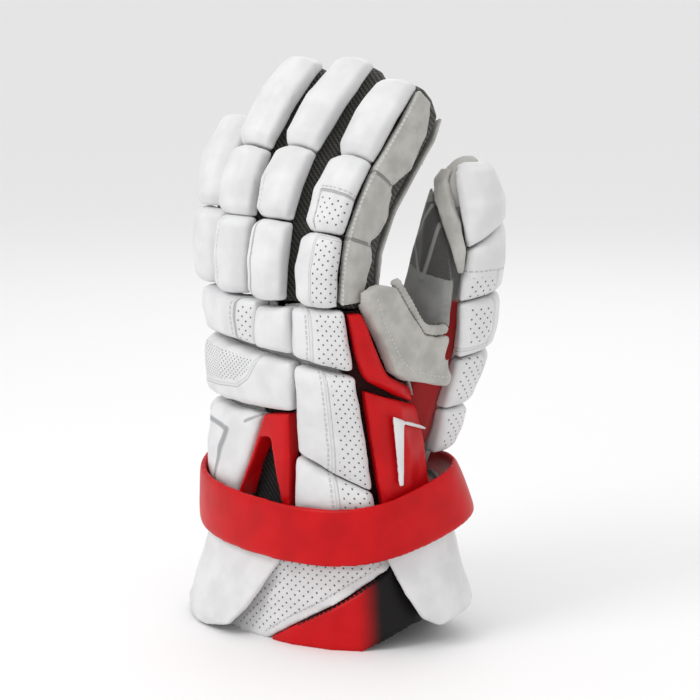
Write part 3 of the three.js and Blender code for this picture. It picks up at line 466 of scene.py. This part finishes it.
def suede(name, light, dark, patch=()):
    s = Shader(name, 0.95, sheen=0.35)
    nap = s.noise(1500, 2)
    cloud = s.noise(120, 4)
    color = s.mix(s.ramp(cloud, 0.3, 0.7), dark, light)
    color = s.mix(s.ramp(nap, 0.35, 0.65, 0.0, 0.3), color, dark)
    thread = s.dashes("stitches", 2.4, 0.6)
    crease = s.line("creases", 1.3)
    _, window, _ = s.attribute("holes")
    opened = s.ramp(window, 0.2, 0.5)
    strap = s.line("trims", 1.7)
    net = s.dots(1.1, 0.33)
    # Painted shade: the creases are painted near black, the shade in their grooves.
    color = s.mix(s.math("MULTIPLY", crease, 0.7), color, (0.09, 0.088, 0.08, 1))
    color = s.mix(s.math("MULTIPLY", thread, 0.8), color, (0.55, 0.55, 0.53, 1))
    cloth = s.mix(net, (0.05, 0.049, 0.045, 1), (0.016, 0.016, 0.015, 1))
    color = s.mix(opened, color, cloth)
    color = s.mix(s.math("MULTIPLY", strap, 0.9), color, (0.27, 0.27, 0.26, 1))
    _, white, _ = s.attribute("pale")
    color = s.mix(s.ramp(white, 0.0, 0.8), color, (0.45, 0.445, 0.42, 1))
    _, red, _ = s.attribute("red_and_red_shade")
    color = s.mix(s.ramp(red, 0.0, 0.8), color, (0.4, 0.005, 0.006, 1))
    height = s.math("ADD", s.math("MULTIPLY", nap, 0.22), s.math("MULTIPLY", cloud, 0.25))
    height = s.math("SUBTRACT", height, s.math("MULTIPLY", crease, 1.3))
    height = s.math("ADD", height, s.math("MULTIPLY", thread, 0.5))
    height = s.math("SUBTRACT", height, s.math("MULTIPLY", opened, 0.7))
    height = s.math("ADD", height, s.math("MULTIPLY", strap, 0.7))
    return s.finish(color, height, 0.8, 0.0009)


LIGHT_SUEDE = suede("light_suede", (0.47, 0.46, 0.425, 1), (0.35, 0.34, 0.315, 1))
GREY_SUEDE = suede("grey_suede", (0.27, 0.27, 0.26, 1), (0.19, 0.19, 0.18, 1))
for name in FINGERS:
    strip = soft_copy(f"{name}_palm", f"{name}_palm_suede", 0.0009, 2)
    dress(strip, LIGHT_SUEDE, "light_suede", f"{name}_palm", fill=0.5)

lobes = soft_copy("index_side_suede", "index_side_lobes", 0.0008, 3, puff=0.0009)
edge = [(99, 2), (126, 19), (114, 36), (103, 39), (120, 46), (128, 60), (116, 73), (103, 77), (122, 86), (128, 100), (115, 117)]
draw(
    lobes,
    finger_chart("index"),
    17,
    stitches=[[(u - 7, v) for u, v in edge], [(65, 2), (65, 124)]],
    # Painted shade: the valleys between the lobes are painted darker.
    creases=[[(60, 38), (110, 38)], [(60, 76), (110, 76)]],
)
dress(lobes, LIGHT_SUEDE, "light_suede", "index_side_suede", fill=0.6)

# Pads on the back of the hand: three at the knuckles, two over the hand and two at the wrist, of
# the same foam and leather, some with a perforated panel set in behind a piped edge.
BACK_SEWING = {
    "knuckle_pad_ulnar": {
        "holes": [[(-13, 148), (-1, 148), (-1, 168), (-13, 168)]],
        "creases": [[(-13, 147), (-13, 170)]],
        "stitches": [[(-15.5, 147), (-15.5, 170)]],
    },
    "knuckle_pad_middle": {},
    "knuckle_pad_index": {
        "holes": [[(41.5, 141), (65, 138), (64, 170), (41.5, 170)]],
        "piping": [[(40, 141), (40, 171)]],
        "stitches": [[(37.5, 142), (37.5, 170)]],
    },
    "metacarpal_pad_ulnar": {
        "holes": [[(-90, 146), (4, 141.5), (-3, 132), (-12, 127), (-90, 119)]],
        "piping": [[(5, 142), (-2, 131), (-11, 125.5), (-90, 118)]],
    },
    "metacarpal_pad_radial": {
        "holes": [[(45, 88), (62, 80), (66, 139), (48.5, 140)]],
        "piping": [[(43, 84), (47, 142)]],
        "stitches": [[(40.5, 84), (44.5, 142)]],
    },
    "wrist_pad_radial": {
        "holes": [[(45, 68), (62, 68), (62, 80), (45, 87)]],
        "piping": [[(43.5, 66), (43.5, 90)]],
        "stitches": [[(41, 66), (41, 90)]],
    },
    "wrist_pad_ulnar": {
        "trims": [[(-75, 107), (-49, 103.5), (-22, 101), (-35, 74), (-40, 66)]],
        "creases": [[(-10, 107), (0, 112)]],
    },
}
for node, sewing in BACK_SEWING.items():
    pad = soft_copy(node, f"{node}_foam", 0.00105, 9, puff=0.0013, swell=0.0008)
    draw(pad, hand_chart, 50, **sewing)
    dress(pad, FINE_HOLES if node == "metacarpal_pad_ulnar" else WHITE, "white_leather", node, fill=0.9)

# Red synthetic leather, smooth and slightly glossy: the vent's frame, the padded roll and wrist pad
# on the thumb side, the cuff's hem and the strap.


def red_leather():
    s = Shader("red_leather", 0.4, sheen=0.0, coat=0.0)
    s.skin.inputs["Specular IOR Level"].default_value = 0.18
    grain = s.noise(1100, 3)
    folds = s.noise(60, 2)
    thread = s.dashes("stitches", 2.6, 0.5)
    crease = s.line("creases", 1.2)
    _, shade, _ = s.attribute("dark")
    color = s.mix(s.ramp(folds, 0.3, 0.7), (0.47, 0.002, 0.004, 1), (0.56, 0.003, 0.006, 1))
    # Painted shade: the creases are painted dark red-black, the shade in their grooves.
    color = s.mix(s.math("MULTIPLY", crease, 0.8), color, (0.05, 0.003, 0.003, 1))
    color = s.mix(thread, color, (0.02, 0.01, 0.01, 1))
    # Painted shade: where the "dark" attribute is set, the leather fades to near black, the hem's deep shade towards
    # the flap.
    color = s.mix(s.ramp(shade, 0.0, 14.0), color, (0.006, 0.005, 0.005, 1))
    height = s.math("ADD", s.math("MULTIPLY", grain, 0.05), s.math("MULTIPLY", folds, 0.3))
    height = s.math("SUBTRACT", height, s.math("MULTIPLY", crease, 0.8))
    return s.finish(color, height, 0.7, 0.0009)


RED = red_leather()
vent = soft_copy("vent_frame", "vent_frame_leather", 0.0009, 4)
draw(vent, hand_chart, 50)
dress(vent, RED, "red_leather", "vent_frame", fill=0.8)
roll = soft_copy("side_roll", "side_roll_foam", 0.001, 7, puff=0.0008)
draw(roll, hand_chart, 50)
dress(roll, RED, "red_leather", "side_roll", fill=0.9)
wrist = soft_copy("radial_wrist_pad", "thumb_side_wrist_foam", 0.001, 6, puff=0.0008)
draw(wrist, hand_chart, 50)
dress(wrist, RED, "red_leather", "radial_wrist_pad", fill=0.9)
trim = soft_copy("radial_trim", "raised_white_trim", 0.0006, 3)
draw(trim, hand_chart, 50)
dress(trim, WHITE, "white_leather", "radial_trim", fill=1.0)

# The web between index finger and thumb: a light suede patch, stitched near its edge, with a rolled
# and pleated welt along the crotch. The patch is bare.
web = soft_copy("web_patch", "web_suede", 0.0009, 5, puff=0.0008)


def side_chart(co):
    return np.stack([co[:, 1], co[:, 2]], 1)


draw(
    web,
    side_chart,
    180 / math.pi,
    stitches=[[(-33, 176), (-29, 164), (-23, 154), (-17, 144), (-10, 138.5), (-2, 136), (6, 134), (12, 133)]],
)
dress(web, LIGHT_SUEDE, "light_suede", "web_patch", fill=0.7)
welt = soft_copy("web_welt", "web_pleated_welt", 0.0006, 3)
spots = points_of(welt)
pleat = np.sin((spots[:, 1] - spots[:, 2]) / math.sqrt(2) * 2 * math.pi / 2.4)
normals = np.empty(len(spots) * 3, np.float32)
welt.data.vertex_normals.foreach_get("vector", normals)
spots += normals.reshape(-1, 3) * (0.22 * pleat[:, None])
welt.data.vertices.foreach_set("co", (spots / 1000).astype(np.float32).reshape(-1))
welt.data.update()
dress(welt, LIGHT_SUEDE, "light_suede", "web_welt", fill=0.8)

# The palm: one suede panel sewn to the shell, from the cuff to the roots of the fingers.
palm = soft_copy("palm_panel", "palm_suede", 0.0008, 5, puff=0.001)
draw(palm, hand_chart, 50, stitches=[[(132, 74), (135, 158)], [(252, 74), (252, 160)]])
dress(palm, LIGHT_SUEDE, "light_suede", "palm_panel", fill=0.4)

# The thumb: a suede sleeve, five leather pads on its back, a mid grey inner side with a dark mesh
# window under two thin straps, and a light suede edge rolled over from the tip. Millimetres.
THUMB_SECTIONS = np.array([
    [80.0, 34.2, 14.0, 20.0, 20.0],
    [100.5, 37.8, 18.9, 22.0, 22.0],
    [124.2, 43.9, 21.0, 22.9, 24.9],
    [149.5, 54.0, 23.8, 22.9, 24.2],
    [189.0, 60.4, 27.5, 21.1, 22.0],
    [214.3, 63.4, 29.3, 18.3, 18.7],
    [238.0, 64.7, 29.9, 17.2, 17.6],
])


def thumb_chart(co):
    z = co[:, 2]
    x, y, a, b = [np.interp(z, THUMB_SECTIONS[:, 0], THUMB_SECTIONS[:, k]) for k in range(1, 5)]
    around = np.degrees(np.arctan2((co[:, 1] - MIDDLE[1] - y) / a, (co[:, 0] - MIDDLE[0] - x) / b))
    return np.stack([around, z], 1)


THUMB_LIGHT = [
    [(-10, 60), (80, 60), (80, 236), (-50, 236), (-36, 190), (-36, 165), (-20, 130)],
    [(-179, 214), (179, 214), (179, 260), (-179, 260)],
]
THUMB_RED = [[(-175, 60), (6, 60), (-6, 112), (-16, 145), (-30, 166), (-80, 166), (-175, 150)]]
sleeve = soft_copy("thumb_sleeve", "thumb_suede_sleeve", 0, 6, curve=2)
draw(sleeve, thumb_chart, 21, pale=THUMB_LIGHT, red_and_red_shade=THUMB_RED)
dress(sleeve, GREY_SUEDE, "grey_suede", "thumb_sleeve")
side = soft_copy("thumb_side_panel", "thumb_inner_side", 0.0009, 4, puff=0.0008)
draw(
    side,
    thumb_chart,
    21,
    holes=[[(-160, 186), (-44, 179), (-52, 197), (-68, 216), (-110, 217), (-160, 212)]],
    trims=[[(-109, 214), (-137, 197), (-97, 180)], [(-84, 210), (-93, 180)]],
)
dress(side, GREY_SUEDE, "grey_suede", "thumb_side_panel", fill=0.4)
rolled = soft_copy("thumb_edge_roll", "thumb_rolled_edge", 0.0009, 5, puff=0.0006)
draw(rolled, thumb_chart, 21)
dress(rolled, LIGHT_SUEDE, "light_suede", "thumb_edge_roll", fill=0.7)
THUMB_SEWING = {
    "thumb_pad_tip": {},
    "thumb_pad_middle": {
        "holes": [[(-31, 170), (18, 171), (14, 182), (-31, 182)]],
        "piping": [[(20, 170), (15, 183)]],
        "stitches": [[(-40, 184), (30, 184)], [(-36, 197), (20, 207)]],
    },
    "thumb_pad_lower": {
        "holes": [[(-16, 147), (17, 149), (19, 168), (-30, 168)]],
        "piping": [[(-30, 145), (14, 147), (20, 152), (20, 169)]],
    },
    "thumb_pad_root": {
        "holes": [[(-7, 117), (36, 118), (26, 143), (-16, 142)]],
        "piping": [[(40, 116), (30, 134), (22, 145)]],
    },
    "thumb_pad_wrist": {
        "holes": [[(5, 92), (34, 92), (38, 113), (-6, 112)]],
        "piping": [[(37, 90), (41, 106), (40, 116)]],
    },
}
for node, sewing in THUMB_SEWING.items():
    pad = soft_copy(node, f"{node}_foam", 0.00095, 8, puff=0.001, swell=0.0006)
    draw(pad, thumb_chart, 21, **sewing)
    dress(pad, WHITE, "white_leather", node, fill=0.9)

# The wrist cuff: a padded white tongue with fine holes at the front, a red hem across its corner
# sewn on with black thread, a plain palm side, and two white flaps that stand out under the strap.
tongue = soft_copy("cuff_tongue", "cuff_tongue_leather", 0.0011, 4, puff=0.0006, swell=0.0004)
seam = [(5, 1.5), (20, 12.5), (39, 24), (52, 32), (66, 40.5), (84, 53)]
draw(
    tongue,
    hand_chart,
    58,
    holes=[[(-58, 2), (2, 2), (22, 15), (41, 26), (62, 40), (62, 64), (-58, 64)]],
    stitches=[[(u - 2, v + 1.5) for u, v in seam]],
)
dress(tongue, WHITE, "white_leather", "cuff_tongue", fill=0.6)
hem = soft_copy("cuff_hem", "cuff_hem_leather", 0.001, 3, swell=0.0005)
draw(
    hem,
    hand_chart,
    58,
    stitches=[[(u + 1.5, v - 2.6) for u, v in seam[1:]]],
    # Painted shade: the hem is painted darker to black from this edge rightwards.
    dark=[[(50, -90), (190, -90), (190, 140), (50, 140)]],
)
dress(hem, RED, "red_leather", "cuff_hem", fill=0.6)
heel = soft_copy("palm_cuff", "cuff_palm_side", 0.0012, 5, puff=0.0008)
draw(heel, lambda co: np.stack([np.degrees(np.arctan2(co[:, 0], co[:, 1])), co[:, 2]], 1), 58, stitches=[[(-170, 4), (170, 4)]])
dress(heel, WHITE, "white_leather", "palm_cuff", fill=0.6)
for node in ("cuff_flap_ulnar", "cuff_flap_radial"):
    flap = soft_copy(node, f"{node}_leather", 0.001, 7, puff=0.0008)
    draw(flap, hand_chart, 58)
    dress(flap, WHITE, "white_leather", node, fill=0.8)

# The strap: a red band round the wrist, stiffened, with a turned edge. It carries no lettering.
strap = soft_copy("strap", "closing_strap", 0.0008, 9, puff=0.0004, swell=0.0004, curve=2)
draw(strap, hand_chart, 60)
dress(strap, RED, "red_leather", "strap", fill=1.0)
